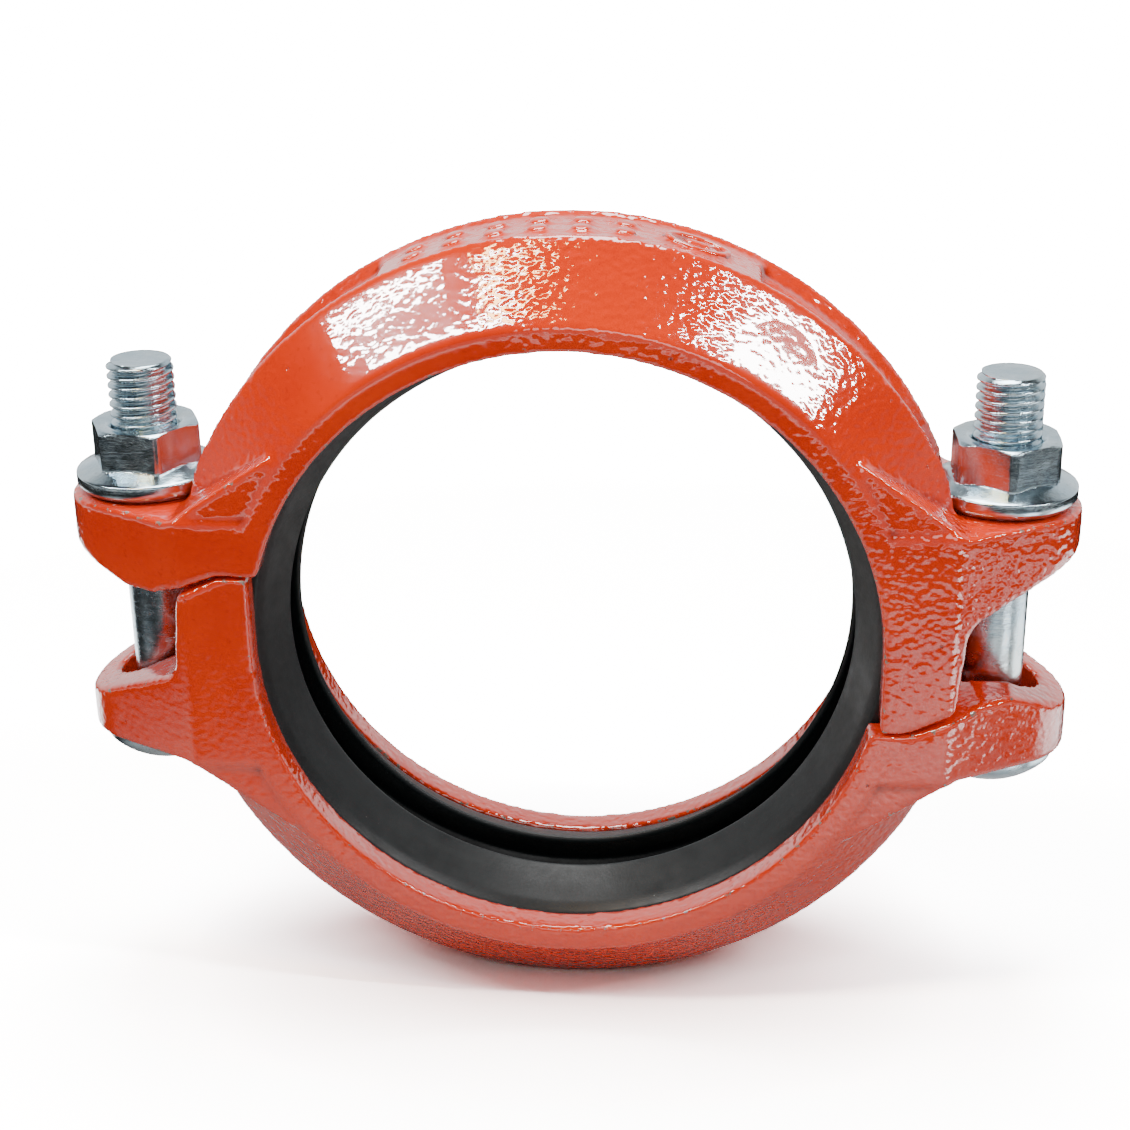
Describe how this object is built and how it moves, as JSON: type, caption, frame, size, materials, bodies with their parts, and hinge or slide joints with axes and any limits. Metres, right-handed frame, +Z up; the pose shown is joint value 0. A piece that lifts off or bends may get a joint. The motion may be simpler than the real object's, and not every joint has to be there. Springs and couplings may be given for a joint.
{
  "type": "rigid grooved pipe coupling",
  "caption": "Rigid grooved-end pipe coupling: two ductile iron housing halves clamp a rubber ring gasket with track bolts and flange nuts.",
  "frame": {"origin": "on the pipe axis, midway between the two keys", "axes": "+Y along the pipe with the front key facing -Y, +Z up along the bolts, +X to the right from bolt to bolt"},
  "size_m": [0.182, 0.043, 0.1454],
  "materials": {
    "red_enamel": "glossy orange-red enamel over sand-cast ductile iron",
    "black_rubber": "satin moulded rubber",
    "zinc_steel": "bright blue-white zinc plating"
  },
  "bodies": {
    "lower_housing": {"lower_housing": "red_enamel", "bolt_left": "zinc_steel", "bolt_right": "zinc_steel"},
    "upper_housing": {"upper_housing": "red_enamel"},
    "gasket": {"gasket": "black_rubber"},
    "nut_left": {"nut_left": "zinc_steel"},
    "nut_right": {"nut_right": "zinc_steel"}
  },
  "joints": [
    {"name": "housing_lift", "type": "slide", "parent": "lower_housing", "child": "upper_housing", "axis": [0, 0, 1], "range_m": [0, 0.00875]},
    {"name": "nut_left_turn", "type": "hinge", "parent": "upper_housing", "child": "nut_left", "pos_m": [-0.077, 0, 0.024], "axis": [0, 0, 1], "range_deg": [0, 1800]},
    {"name": "nut_right_turn", "type": "hinge", "parent": "upper_housing", "child": "nut_right", "pos_m": [0.077, 0, 0.023], "axis": [0, 0, 1], "range_deg": [0, 1800]},
    {"name": "gasket_rise", "type": "slide", "parent": "lower_housing", "child": "gasket", "axis": [0, 0, 1], "range_m": [0, 0.00438]}
  ],
  "couplings": [
    {"joint": "nut_left_turn", "follows": "housing_lift", "rad_per_m": 3590.4},
    {"joint": "nut_right_turn", "follows": "housing_lift", "rad_per_m": 3590.4},
    {"joint": "gasket_rise", "follows": "housing_lift", "ratio": 0.5}
  ]
}
